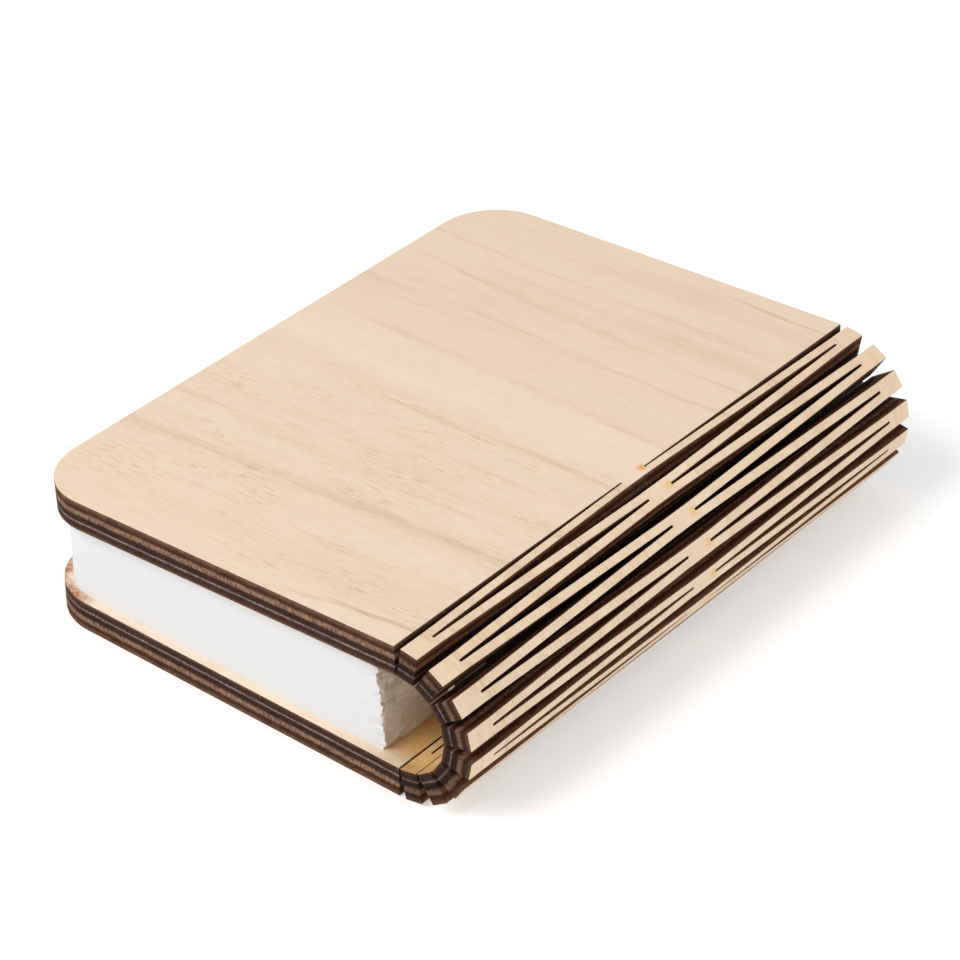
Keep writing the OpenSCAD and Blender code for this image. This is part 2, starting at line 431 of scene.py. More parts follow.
@dataclass(frozen=True)
class Grain:
    """A noise that is drawn out along the wood.

    Attributes:
        along: Waves in each mm along the bend of the sheet.
        across: Waves in each mm along the spine.
        detail: Number of finer layers.
        roughness: Weight of the finer layers.
    """

    along: float
    across: float
    detail: float = 2.0
    roughness: float = 0.5

    def noise(self, graph: Graph, along: Socket, across: Socket, third: Socket) -> Socket:
        """Adds the noise to a graph.

        Args:
            graph: The graph to build in.
            along: Place along the bend, in mm.
            across: Place along the spine, in mm.
            third: The noise's third coordinate.

        Returns:
            The noise from 0 to 1.
        """
        place = graph.join(graph.math("MULTIPLY", along, self.along),
                           graph.math("MULTIPLY", across, self.across), third)
        return graph.noise(place, detail=self.detail, roughness=self.roughness)


# The noises of the veneer, and last the two of its cut edge.
WARP = Grain(0.014, 0.035)
BROAD_TONE = Grain(0.007, 0.11, 3.0, 0.6)
FIBRE = Grain(0.10, 1.5, 4.0, 0.65)
FLECK = Grain(0.24, 2.6, 1.5, 0.6)
CROWD = Grain(0.05, 0.16)
BROKEN = Grain(0.06, 0.9, 3.0)
BOW = Grain(0.05, 0.06, 3.0)
HATCH = Grain(2.9, 2.9, 3.5, 0.75)
EDGE_GRAIN = Grain(0.45, 0.45, 4.0, 0.7)


@dataclass(frozen=True)
class Streak:
    """A dark streak of the veneer, or the joint between its two planks.

    Attributes:
        at_kerf: Its place along the spine at the upper cover's kerf edge, in mm.
        lean: How many mm it shifts along the spine in each mm towards the fore edge.
        half_width: Half its width in mm.
        strength: How dark it is.
        reach: How far it runs towards the fore edge, in mm.
    """

    at_kerf: float
    lean: float
    half_width: float = 1.0
    strength: float = 0.2
    reach: float = 90.0


# Where a noise from 0 to 1 has nearly all of its values.
NOISE_SPAN = 0.3, 0.7

# The veneer's tone, from 0 for dark to 1 for pale, and what the noises add to it.
TONE, BROAD_SHARE, FIBRE_SHARE = 0.53, 0.75, 0.40
PALE_BAND, PALE_SHARE, UPPER_SHARE = (-16.0, -9.0), 0.24, -0.03
# How far the grain bends aside in mm, and what sets apart the planks' noises.
WAVE, PLANK_SEED, DEPTH_SEED = 9.0, 31.7, 1.3
# Flecks: where their noise makes a dash and how dark it is, the noise's own share and
# shift, and the strength of all in fine wood and what coarse wood adds to it.
DASH_SPAN, DASH_SHARE, FLECK_SHARE, FLECK_SHIFT = (0.50, 0.64), (0.06, 0.30), 0.5, -0.21
FINE, COARSE = 0.5, 0.75
FLECK_TINT = (0.62, 0.80, 1.0)

# Streaks: their sideways bow and the length that they fade out over in mm, the share
# of their strength that the noise leaves, and how faint they are on the spine, with
# the mm in which they become so.
PLANK_JOINT = Streak(8.8, 0.052)
STREAK_BOW, STREAK_FADE = 3.0, 9.0
STREAK_SPAN, SPINE_STREAKS, SPINE_FADE = (0.1, 1.5), 0.4, 6.0
STREAKS = (
    Streak(56.0, 0.06, 1.0, 0.30, 20.0),
    Streak(43.5, 0.033, 1.7, 0.16),
    Streak(31.6, 0.07, 1.4, 0.20, 74.0),
    Streak(24.0, 0.052, 1.6, 0.14, 68.0),
    Streak(9.6, 0.056, 1.3, 0.14, 70.0),
    Streak(-5.2, -0.012, 1.4, 0.26, 52.0),
    Streak(-14.0, 0.0, 1.2, 0.14, 26.0),
    Streak(-27.0, 0.035, 1.8, 0.16),
    Streak(-33.2, -0.038, 2.2, 0.22),
    Streak(-45.0, -0.004, 1.9, 0.18, 60.0),
    Streak(-55.6, -0.145, 1.1, 0.56, 24.0),
)

# Scorched spots: how many of the slit ends have one, and their sizes in mm, or in
# shares of two links for the width.
SPOTS, FAR_SPOTS = 0.5, 0.33
SPOT_INSET, SPOT_MARGIN, SPOT_LENGTH, SPOT_WIDTH = 0.75, 2.0, (0.2, 1.4), (0.04, 0.26)
# Where the stain of a corner starts and is full, in mm past the corner's centre.
CORNER_SPAN = -3.0, 3.5

# The laser's smoke: how far its clouds blur it, in its own reach and in mm beside the
# kerf, how far it goes there, how it spares the rim, and its specks and spots. Beside the
# kerf the colour is partly smoke and partly painted shade of the hollow under the spine.
SMOKE_BLUR, KERF_BLUR, KERF_REACH = 1.6, 12.0, (1.0, 17.0)
RIM_CLEAR = 0.8, 4.5, 0.2, 1.0
SPECKS, SPOT_CLOUDS = (0.35, 0.6, 0.55, 1.0), (0.3, 0.6, 0.55, 0.95)

# The charred edge from the sheet's outer face, 0, to its inner face, 1.
PLIES = (
    (0.00, srgb(142, 112, 90)), (0.04, srgb(118, 89, 70)), (0.13, srgb(94, 64, 47)),
    (0.19, srgb(72, 43, 28)), (0.27, srgb(72, 43, 28)), (0.30, srgb(122, 88, 72)),
    (0.36, srgb(143, 111, 90)), (0.44, srgb(129, 98, 79)), (0.475, srgb(96, 68, 56)),
    (0.50, srgb(58, 35, 26)), (0.635, srgb(52, 32, 25)), (0.67, srgb(84, 63, 56)),
    (0.69, srgb(140, 117, 110)), (0.72, srgb(132, 109, 102)), (0.745, srgb(70, 49, 42)),
    (0.83, srgb(58, 36, 29)), (0.90, srgb(74, 47, 37)), (0.96, srgb(104, 74, 59)),
    (1.00, srgb(140, 108, 88)),
)
# The plies that show end grain, how far plies waver and how soft their borders are, and
# how strong the hatch of the end grain is.
END_GRAIN_PLIES = ((0.28, 0.47), (0.66, 0.75))
PLY_DRIFT, PLY_OUT, PLY_IN, HATCH_SHARE = 0.045, 0.03, 0.01, 2.4
# How dark and how light the noises make the char.
HATCH_LIGHT, GRAIN_LIGHT, SOOT_LIGHT = (0.6, 1.4), (0.66, 1.36), (0.86, 1.14)
# How far in from the spine's ends a cut face counts as an end face, in mm.
END_FACE_DEPTH = 0.15
RUST_TINT = (0.35, -0.05, -0.35)


class Effects:
    """The node groups that more than one finish uses, each built once."""

    def __init__(self, spine: "Spine") -> None:
        """Builds every group.

        Args:
            spine: The sheet, whose sizes the groups are built to.
        """
        self.spine = spine
        self.figure = self._figure()
        self.rim = self._rim()
        self.layers = self._layers()
        self.mottle = self._mottle()
        self.fibres = self._fibres()

    def _figure(self) -> bpy.types.NodeTree:
        """Builds the figure of the face veneer: two planks, streaks, fibres and flecks.

        Returns:
            The group.
        """
        graph, given, leave = new_group(
            "veneer_figure",
            {"Flat": (VECTOR, None), "Pale": (COLOUR, None), "Middle": (COLOUR, None),
             "Dark": (COLOUR, None)},
            {"Color": COLOUR, "Height": FLOAT})
        along, across, depth = graph.split_mm(given["Flat"])
        from_kerf = graph.math("SUBTRACT", along, self.spine.upper_kerf / MM)
        above_joint = graph.math("SUBTRACT", across, graph.math(
            "MULTIPLY_ADD", from_kerf, PLANK_JOINT.lean, PLANK_JOINT.at_kerf))
        upper = graph.math("GREATER_THAN", above_joint, 0.0)
        seed = graph.math("MULTIPLY_ADD", upper, PLANK_SEED, graph.product(depth, DEPTH_SEED))
        warp = WARP.noise(graph, along, across, seed)
        wavy = graph.math("MULTIPLY_ADD", warp, WAVE, across)
        broad = BROAD_TONE.noise(graph, along, wavy, seed)
        fibre = FIBRE.noise(graph, along, wavy, seed)
        tone = graph.sway(fibre, FIBRE_SHARE, graph.sway(broad, BROAD_SHARE, TONE))
        under = graph.rest(upper)
        pale = graph.product(graph.range(above_joint, *PALE_BAND), under)
        tone = graph.math("MULTIPLY_ADD", pale, PALE_SHARE, tone)
        tone = graph.math("MULTIPLY_ADD", upper, UPPER_SHARE, tone)
        streaks = self._streaks(graph, from_kerf, along, across, seed)
        tone = graph.math("SUBTRACT", tone, streaks)
        colour = graph.mix(graph.range(tone, 0.0, 0.5, curve="LINEAR"), given["Dark"],
                           given["Middle"])
        colour = graph.mix(graph.range(tone, 0.5, 1.0, curve="LINEAR"), colour,
                           given["Pale"])
        coarse = graph.math("MULTIPLY_ADD", graph.product(under, graph.rest(pale)),
                            COARSE, FINE)
        fleck = FLECK.noise(graph, along, across, seed)
        crowd = CROWD.noise(graph, along, across, seed)
        dashes = graph.product(graph.range(fleck, *DASH_SPAN),
                               graph.range(crowd, *NOISE_SPAN, *DASH_SHARE))
        flecks = graph.math("MULTIPLY_ADD", fleck, FLECK_SHARE, FLECK_SHIFT)
        flecks = graph.math("SUBTRACT", flecks, dashes)
        graph.fill(leave, Height=graph.math("MULTIPLY_ADD", fibre, 0.5, fleck),
                   Color=graph.tinted(colour, graph.product(flecks, coarse), FLECK_TINT))
        return graph.tree

    @staticmethod
    def _streaks(graph: Graph, from_kerf: Socket, along: Socket, across: Socket,
                 seed: Socket) -> Socket:
        """Builds the dark streaks of the veneer, which are fainter on the spine.

        Args:
            graph: The graph to build in.
            from_kerf: Distance from the upper cover's kerf edge along the sheet, in mm.
            along: Place along the bend, in mm.
            across: Place along the spine, in mm.
            seed: The plank's seed.

        Returns:
            How dark the streaks are.
        """
        broken = BROKEN.noise(graph, along, across, seed)
        bowed = graph.math("MULTIPLY_ADD", BOW.noise(graph, along, across, seed),
                           STREAK_BOW, across)
        total = None
        for streak in STREAKS:
            line = graph.math("MULTIPLY_ADD", from_kerf, streak.lean,
                              streak.at_kerf + STREAK_BOW / 2)
            core = graph.fade(graph.apart(bowed, line), 0.0, streak.half_width)
            reach = graph.fade(from_kerf, streak.reach - STREAK_FADE,
                               streak.reach + STREAK_FADE)
            faint, strong = (share * streak.strength for share in STREAK_SPAN)
            strength = graph.range(broken, *NOISE_SPAN, faint, strong, "LINEAR")
            dark = graph.product(core, reach, strength)
            total = dark if total is None else graph.math("ADD", total, dark)
        return graph.product(total, graph.range(from_kerf, -SPINE_FADE, 0.0,
                                                SPINE_STREAKS, 1.0))

    def _rim(self) -> bpy.types.NodeTree:
        """Builds the distance from the sheet's rim and kerfs, and its scorched spots.

        Returns:
            The group.
        """
        spine = self.spine
        graph, given, leave = new_group(
            "sheet_rim", {"Flat": (VECTOR, None)},
            {"Rim": FLOAT, "Corner": FLOAT, "Kerf": FLOAT, "Slit Ends": FLOAT})
        along, across, _ = graph.split_mm(given["Flat"])
        from_middle = graph.math("SUBTRACT", along, spine.flat_middle / MM)
        radius = spine.corner_r / MM
        sides = []
        for value, half in ((from_middle, spine.flat_half), (across, spine.half_len)):
            size = graph.math("ABSOLUTE", value)
            sides.append(graph.math("SUBTRACT", size, half / MM - radius))
        squares = [graph.math("POWER", graph.math("MAXIMUM", side, 0.0), 2.0)
                   for side in sides]
        reach = graph.math("SQRT", graph.math("ADD", *squares))
        inside = graph.math("MINIMUM", graph.math("MAXIMUM", *sides), 0.0)
        spine_half = (spine.flat_half - spine.cover_wid) / MM
        graph.fill(
            leave,
            Rim=graph.math("SUBTRACT", radius, graph.math("ADD", reach, inside)),
            Corner=graph.range(graph.math("MINIMUM", *sides), *CORNER_SPAN),
            Kerf=graph.math("SUBTRACT", graph.math("ABSOLUTE", from_middle), spine_half),
            Slit_Ends=self._spots(graph, from_middle, across, spine_half))
        return graph.tree

    def _spots(self, graph: Graph, from_middle: Socket, across: Socket,
               spine_half: float) -> Socket:
        """Builds the spots that the laser scorched at some of the slit ends.

        Args:
            graph: The graph to build in.
            from_middle: Distance from the middle of the sheet along the bend, in mm.
            across: Place along the spine, in mm.
            spine_half: Half the width of the slotted part, in mm.

        Returns:
            How strong the spots are.
        """
        cells = graph.math("DIVIDE", from_middle, 2 * self.spine.link / MM)
        cell = graph.math("ROUND", cells)
        side = graph.math("SIGN", across)
        chance = graph.add("ShaderNodeTexWhiteNoise", noise_dimensions="2D")
        graph.feed(chance.inputs["Vector"], graph.join(cell, side, 0.0))
        chosen = graph.math("LESS_THAN", chance.outputs["Value"],
                            graph.math("MULTIPLY_ADD", side, FAR_SPOTS, SPOTS))
        slit_end = self.spine.bridge_half / MM - SPOT_INSET
        away = graph.apart(graph.math("ABSOLUTE", across), slit_end)
        within = graph.math("LESS_THAN", graph.math("ABSOLUTE", from_middle),
                            spine_half + SPOT_MARGIN)
        return graph.product(chosen, graph.fade(away, *SPOT_LENGTH), within,
                             graph.fade(graph.apart(cells, cell), *SPOT_WIDTH))

    def _layers(self) -> bpy.types.NodeTree:
        """Builds the charred plies of a laser-cut edge, from the outer face inwards.

        Returns:
            The group.
        """
        graph, given, leave = new_group(
            "charred_plies", {"Flat": (VECTOR, None), "Burn": (FLOAT, 0.0),
                              "Kerf Burn": (FLOAT, 0.0), "Rust": (FLOAT, 0.0)},
            {"Color": COLOUR, "Height": FLOAT})
        along, across, depth = graph.split_mm(given["Flat"])
        share = graph.math("DIVIDE", depth, 2 * self.spine.half_t / MM)
        drift = graph.noise(graph.join(along, across, 0.0), scale=0.12, detail=4.0)
        share = graph.sway(drift, PLY_DRIFT, share)
        ends = graph.math("ADD", *(
            graph.product(graph.range(share, low - PLY_OUT, low + PLY_IN),
                          graph.fade(share, high - PLY_IN, high + PLY_OUT))
            for low, high in END_GRAIN_PLIES))
        hatch = HATCH.noise(graph, along, across, depth)
        grain = EDGE_GRAIN.noise(graph, along, across, graph.product(depth, 4.0))
        sooty = graph.noise(graph.join(along, across, depth), scale=0.45, detail=3.0)
        lines = graph.product(graph.math("SUBTRACT", hatch, 0.5),
                              graph.product(ends, HATCH_SHARE))
        light = graph.math("ADD", lines, graph.range(hatch, *NOISE_SPAN, *HATCH_LIGHT, "LINEAR"))
        at_end = graph.math("GREATER_THAN", graph.math("ABSOLUTE", across),
                            self.spine.half_len / MM - END_FACE_DEPTH)
        burn = graph.math("MULTIPLY_ADD", at_end, graph.math(
            "SUBTRACT", given["Burn"], given["Kerf Burn"]), given["Kerf Burn"])
        light = graph.product(light, graph.range(grain, *NOISE_SPAN, *GRAIN_LIGHT, "LINEAR"),
                              graph.range(sooty, *NOISE_SPAN, *SOOT_LIGHT), graph.rest(burn))
        rust = graph.product(given["Rust"], graph.rest(at_end))
        colour = graph.shade(graph.ramp(share, PLIES), light)
        graph.fill(leave, Color=graph.tinted(colour, rust, RUST_TINT),
                   Height=graph.math("MULTIPLY_ADD", grain, 0.6, hatch))
        return graph.tree

    def _mottle(self) -> bpy.types.NodeTree:
        """Builds the fine unevenness and faint dirt of plastic, metal and coated boards.

        Returns:
            The group.
        """
        graph, given, leave = new_group(
            "fine_mottle", {"Vector": (VECTOR, None), "Scale": (FLOAT, 100.0)},
            {"Value": FLOAT, "Height": FLOAT})
        place = graph.scaled(given["Vector"], given["Scale"])
        broad = graph.noise(place, scale=1.0, detail=4.0)
        fine = graph.noise(place, scale=9.0, detail=2.0)
        graph.fill(leave, Value=broad, Height=graph.math("MULTIPLY_ADD", broad, 0.3, fine))
        return graph.tree

    def _fibres(self) -> bpy.types.NodeTree:
        """Builds the felted fibres of the paper.

        Returns:
            The group.
        """
        graph, given, leave = new_group(
            "paper_fibres", {"Flat": (VECTOR, None)}, {"Value": FLOAT, "Height": FLOAT})
        flat = graph.scaled(given["Flat"], 1 / MM)
        bent = graph.noise(flat, scale=0.25, detail=2.0)
        threads = graph.noise(flat, scale=1.1, detail=5.0, roughness=0.7, distortion=2.2)
        strands = graph.fade(graph.apart(threads, 0.5), 0.0, 0.07)
        graph.fill(leave, Height=graph.math("ADD", threads, strands),
                   Value=graph.math("MULTIPLY_ADD", bent, 0.6, graph.product(strands, 0.4)))
        return graph.tree


# --------------------------------------------------------------------------
# Finishes
# --------------------------------------------------------------------------


def shader(name: str) -> tuple[Graph, bpy.types.Node, bpy.types.Material]:
    """Starts a material with one Principled shader.

    Args:
        name: The material's name.

    Returns:
        The graph, the shader node and the material.
    """
    material = bpy.data.materials.new(name)
    material.use_nodes = True
    graph = Graph(material.node_tree)
    return graph, material.node_tree.nodes["Principled BSDF"], material


@dataclass(frozen=True)
class VeneerFinish:
    """A bare face veneer of the sheet.

    Attributes:
        name: The material's name.
        pale: Its palest colour.
        middle: Its usual colour.
        dark: The colour of streaks and pores.
        scorch: The colour where the laser's smoke has stained it.
        reach: How far in from the rim the stain goes, in mm.
        stained: Strength of the stain along the straight rims.
        smoke_and_shade_colour: The colour beside the kerf, partly the laser's smoke and
            partly painted shade of the hollow under the spine.
        smoked_and_shaded: Strength of that colour.
        cloud: Clouds of smoke in a metre.
        speckle: Specks of smoke in a metre.
        roughness: Roughness of the pores and of the wood between them.
        specular: How much the wood shines.
        relief: Depth of the pores in metres.
    """

    name: str
    pale: Colour
    middle: Colour
    dark: Colour
    scorch: Colour
    reach: float
    stained: float = 0.0
    # Amber beside the kerf: partly laser smoke, partly painted shade of the hollow.
    smoke_and_shade_colour: Colour = srgb(216, 170, 104)
    smoked_and_shaded: float = 0.0
    cloud: float = 150.0
    speckle: float = 1600.0
    roughness: tuple[float, float] = (0.62, 0.5)
    specular: float = 0.3
    relief: float = 0.05 * MM

    def material(self, effects: Effects) -> bpy.types.Material:
        """Builds the material.

        Args:
            effects: The shared node groups.

        Returns:
            The material.
        """
        graph, bsdf, material = shader(self.name)
        flat = graph.attribute(FLAT)
        figure = graph.group(effects.figure, Flat=flat, Pale=self.pale, Middle=self.middle,
                             Dark=self.dark)
        rim = graph.group(effects.rim, Flat=flat)
        cloud = graph.noise(graph.scaled(flat, self.cloud), detail=3.0)
        speckle = graph.noise(graph.scaled(flat, self.speckle), detail=3.0)
        blurred = graph.sway(cloud, -SMOKE_BLUR * self.reach, rim.outputs["Rim"])
        smoke = graph.product(graph.fade(blurred, 0.05, self.reach),
                              graph.math("MAXIMUM", rim.outputs["Corner"], self.stained),
                              graph.range(speckle, *SPECKS))
        spots = graph.product(rim.outputs["Slit Ends"], graph.range(cloud, *SPOT_CLOUDS))
        stain = graph.math("MAXIMUM", smoke, spots, clamp=True)
        # Beside the kerfs the wood is mixed towards a darker amber: partly the laser's smoke,
        # partly painted shade of the hollow under the spine.
        beside = graph.sway(cloud, KERF_BLUR, rim.outputs["Kerf"])
        beside = graph.product(graph.range(beside, *KERF_REACH, self.smoked_and_shaded, 0.0),
                               graph.range(rim.outputs["Rim"], *RIM_CLEAR))
        smoked_and_shaded = graph.mix(beside, figure.outputs["Color"], self.smoke_and_shade_colour)
        pores = figure.outputs["Height"]
        graph.fill(bsdf, Base_Color=graph.mix(stain, smoked_and_shaded, self.scorch),
                   Roughness=graph.range(pores, 0.5, 1.0, *self.roughness),
                   Specular_IOR_Level=self.specular,
                   Normal=graph.bump(pores, self.relief, 0.6))
        return material


@dataclass(frozen=True)
class CutFinish:
    """The charred edge that the laser leaves.

    Attributes:
        name: The material's name.
        burn: How much darker its end faces are.
        kerf_burn: How much darker its walls inside the kerfs are.
        rust: How much redder those walls are.
        roughness: Roughness in the hollows of its grain and on top of it.
        specular: How much the char shines.
        relief: Depth of its grain in metres.
    """

    name: str
    burn: float = 0.0
    kerf_burn: float = 0.0
    rust: float = 0.0
    roughness: tuple[float, float] = (0.95, 0.7)
    specular: float = 0.12
    relief: float = 0.09 * MM

    def material(self, effects: Effects) -> bpy.types.Material:
        """Builds the material.

        Args:
            effects: The shared node groups.

        Returns:
            The material.
        """
        graph, bsdf, material = shader(self.name)
        plies = graph.group(effects.layers, Flat=graph.attribute(FLAT), Burn=self.burn,
                            Kerf_Burn=self.kerf_burn, Rust=self.rust)
        grain = plies.outputs["Height"]
        graph.fill(bsdf, Base_Color=plies.outputs["Color"],
                   Roughness=graph.range(grain, 0.5, 1.1, *self.roughness),
                   Specular_IOR_Level=self.specular,
                   Normal=graph.bump(grain, self.relief, 0.8))
        return material


@dataclass(frozen=True)
class PaperFinish:
    """White felted paper.

    Attributes:
        name: The material's name.
        white: The paper's colour.
        shade: The colour between the fibres.
        relief: Depth of the fibres in metres.
        roughness: Roughness between the fibres and on them.
        specular: How much the paper shines.
        sheen: How much its fibres glow at the edges.
    """

    name: str
    white: Colour
    shade: Colour
    relief: float
    roughness: tuple[float, float] = (0.92, 0.78)
    specular: float = 0.25
    sheen: float = 0.15

    def material(self, effects: Effects) -> bpy.types.Material:
        """Builds the material.

        Args:
            effects: The shared node groups.

        Returns:
            The material.
        """
        graph, bsdf, material = shader(self.name)
        fibres = graph.group(effects.fibres, Flat=graph.attribute(FLAT))
        cloud = fibres.outputs["Value"]
        graph.fill(bsdf, Base_Color=graph.mix(cloud, self.shade, self.white),
                   Roughness=graph.range(cloud, 0.0, 1.0, *self.roughness),
                   Specular_IOR_Level=self.specular, Sheen_Weight=self.sheen,
                   Normal=graph.bump(fibres.outputs["Height"], self.relief, 0.6))
        return material


@dataclass(frozen=True)
class PlainFinish:
    """Plastic, metal, glass or a coated board, with fine unevenness.

    Attributes:
        name: The material's name.
        colour: Its usual colour.
        second: The colour that it drifts to.
        roughness: Lowest and highest roughness.
        metallic: 1 for metal.
        grain: How many of its marks lie in a metre.
        relief: Depth of its marks in metres.
        transmission: 1 for clear glass.
    """

    name: str
    colour: Colour
    second: Colour
    roughness: tuple[float, float]
    metallic: float = 0.0
    grain: float = 400.0
    relief: float = 0.01 * MM
    transmission: float = 0.0

    def material(self, effects: Effects) -> bpy.types.Material:
        """Builds the material.

        Args:
            effects: The shared node groups.

        Returns:
            The material.
        """
        graph, bsdf, material = shader(self.name)
        place = graph.add("ShaderNodeTexCoord").outputs["Object"]
        marks = graph.group(effects.mottle, Vector=place, Scale=self.grain)
        cloud = marks.outputs["Value"]
        graph.fill(bsdf, Base_Color=graph.mix(cloud, self.colour, self.second),
                   Roughness=graph.range(cloud, 0.25, 0.75, *self.roughness),
                   Metallic=self.metallic, Transmission_Weight=self.transmission,
                   Normal=graph.bump(marks.outputs["Height"], self.relief, 0.5))
        return material


# --------------------------------------------------------------------------
# The bent sheet
# --------------------------------------------------------------------------


@dataclass(frozen=True)
class Spine:
    """The chain of equal links that the slotted spine bends in.

    Body 0 is the lower cover, odd bodies are end bars, even ones bridges, and
    the last is the upper cover. A point of a body has three coordinates: u
    along the bend, y along the spine, and n from the middle of the wood
    towards the pages.

    Attributes:
        pivots: Pivot between body i and body i + 1.
        names: Names of the bodies.
        bend: Angle between two neighbouring bodies when closed.
        link: Distance between two pivots.
        half_t: Half the thickness of the plywood.
        half_len: Half the length of the spine.
        cover_wid: Width of a cover from its fore edge to its kerf.
        bridge_half: Half the length of a bridge.
        strip_end: Where the strips end and the bars start, along the spine.
        corner_r: Radius of the covers' fore corners.
        strip_wid: Width of a torsion strip.
        slit_wid: Width of the slit between two strips of one bar.
        lift: How far the bars sit in from the covers' outer faces.
        edge_r: Bevel of every cut edge.
    """

    pivots: tuple[Vector, ...]
    names: tuple[str, ...]
    bend: float
    link: float
    half_t: float
    half_len: float
    cover_wid: float
    bridge_half: float
    strip_end: float
    corner_r: float = 12 * MM
    strip_wid: float = 1.45 * MM
    slit_wid: float = 0.45 * MM
    lift: float = 0.05 * MM
    edge_r: float = 0.07 * MM

    @classmethod
    def from_frame(cls, packed: dict) -> "Spine":
        """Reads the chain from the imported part.


        Returns:
            The spine.
        """
        joints = packed["joints"]
        pivots = tuple(Vector(joint["pos_m"]) for joint in joints)
        steps = [b - a for a, b in pairwise(pivots)]
        last = math.atan2(steps[-1].z, steps[-1].x) % (2 * math.pi)
        low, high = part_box("lower_cover")
        _, bridge_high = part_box("bridge_1")
        _, strip_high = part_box("strip_1")
        link = sum(step.length for step in steps) / len(steps)
        return cls(pivots=pivots,
                   names=(joints[0]["parent"], *(joint["child"] for joint in joints)),
                   bend=last / len(steps), link=link, half_t=(high.z - low.z) / 2,
                   half_len=high.y, cover_wid=-2 * low.x, bridge_half=bridge_high.y,
                   strip_end=strip_high.y)

    @property
    def last(self) -> int:
        """Index of the upper cover."""
        return len(self.names) - 1

    @property
    def bar_half(self) -> float:
        """Half the width of a bar or a bridge."""
        return self.strip_wid + self.slit_wid / 2

    @property
    def kerf_u(self) -> float:
        """Where the lower cover's kerf edge is, in its own coordinates."""
        return self.cover_wid / 2 - self.middle(0).x

    @property
    def flat_middle(self) -> float:
        """The middle of the flat sheet along the bend."""
        return self.middle(0).x + self.last / 2 * self.link

    @property
    def flat_half(self) -> float:
        """Half the length of the flat sheet along the bend."""
        return self.flat_middle + self.cover_wid / 2

    @property
    def upper_kerf(self) -> float:
        """Where the upper cover's kerf edge is along the flat sheet."""
        return self.flat_middle + self.flat_half - self.cover_wid

    def middle(self, body: int) -> Vector:
        """The middle of a body's link.

        Args:
            body: Index of the body.

        Returns:
            The point.
        """
        if body == 0:
            return self.pivots[0] - self.link / 2 * self.along(0)
        return self.pivots[body - 1] + self.link / 2 * self.along(body * self.bend)

    @staticmethod
    def along(angle: float) -> Vector:
        """The direction of the bend at an angle."""
        return Vector((math.cos(angle), 0, math.sin(angle)))

    @staticmethod
    def inward(angle: float) -> Vector:
        """The direction towards the pages at an angle."""
        return Vector((-math.sin(angle), 0, math.cos(angle)))

    def flat_u(self, body: float, u: float) -> float:
        """Where a point of a body is along the flat sheet."""
        return self.middle(0).x + body * self.link + u

    def place(self, body: int, u: float, y: float, n: float) -> Vector:
        """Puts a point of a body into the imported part's frame.

        Args:
            body: Index of the body.
            u: Along the bend.
            y: Along the spine.
            n: Towards the pages.

        Returns:
            The point.
        """
        angle = body * self.bend
        return (self.middle(body) + u * self.along(angle) + n * self.inward(angle)
                + Vector((0, y, 0)))


Outline = list[tuple[float, float]]


def arc(centre: tuple[float, float], radius: float, start: float, end: float,
        steps: int) -> Outline:
    """Points on an arc.

    Args:
        centre: Centre of the arc.
        radius: Its radius.
        start: First angle in degrees.
        end: Last angle in degrees.
        steps: Number of chords.

    Returns:
        The points, both ends included.
    """
    turns = (math.radians(start + (end - start) * k / steps) for k in range(steps + 1))
    return [(centre[0] + radius * math.cos(a), centre[1] + radius * math.sin(a))
            for a in turns]


def inset(outline: Outline, distance: float, seam: float) -> Outline:
    """Moves a counter-clockwise outline inwards, apart from its seams with the strips.

    Args:
        outline: The points.
        distance: How far.
        seam: Distance of the seams from the middle of the spine.

    Returns:
        The moved points.
    """

    def at_seam(point: tuple[float, float]) -> bool:
        """Tells whether a point lies on a seam."""
        return math.isclose(abs(point[1]), seam, abs_tol=1e-9)

    def side(a: tuple[float, float], b: tuple[float, float]) -> tuple[Vector, float]:
        """The inward normal of a side, and how far that side moves."""
        normal = Vector((a[1] - b[1], b[0] - a[0])).normalized()
        return normal, 0.0 if at_seam(a) and at_seam(b) else distance

    moved = []
    for k, here in enumerate(outline):
        first, d1 = side(outline[k - 1], here)
        second, d2 = side(here, outline[(k + 1) % len(outline)])
        turn = first.x * second.y - first.y * second.x
        if abs(turn) < 1e-3:
            shift = first * (d1 + d2) / 2
        else:
            shift = Vector((d1 * second.y - d2 * first.y, first.x * d2 - second.x * d1)) / turn
        moved.append((here[0] + shift.x, here[1] + shift.y))
    return moved


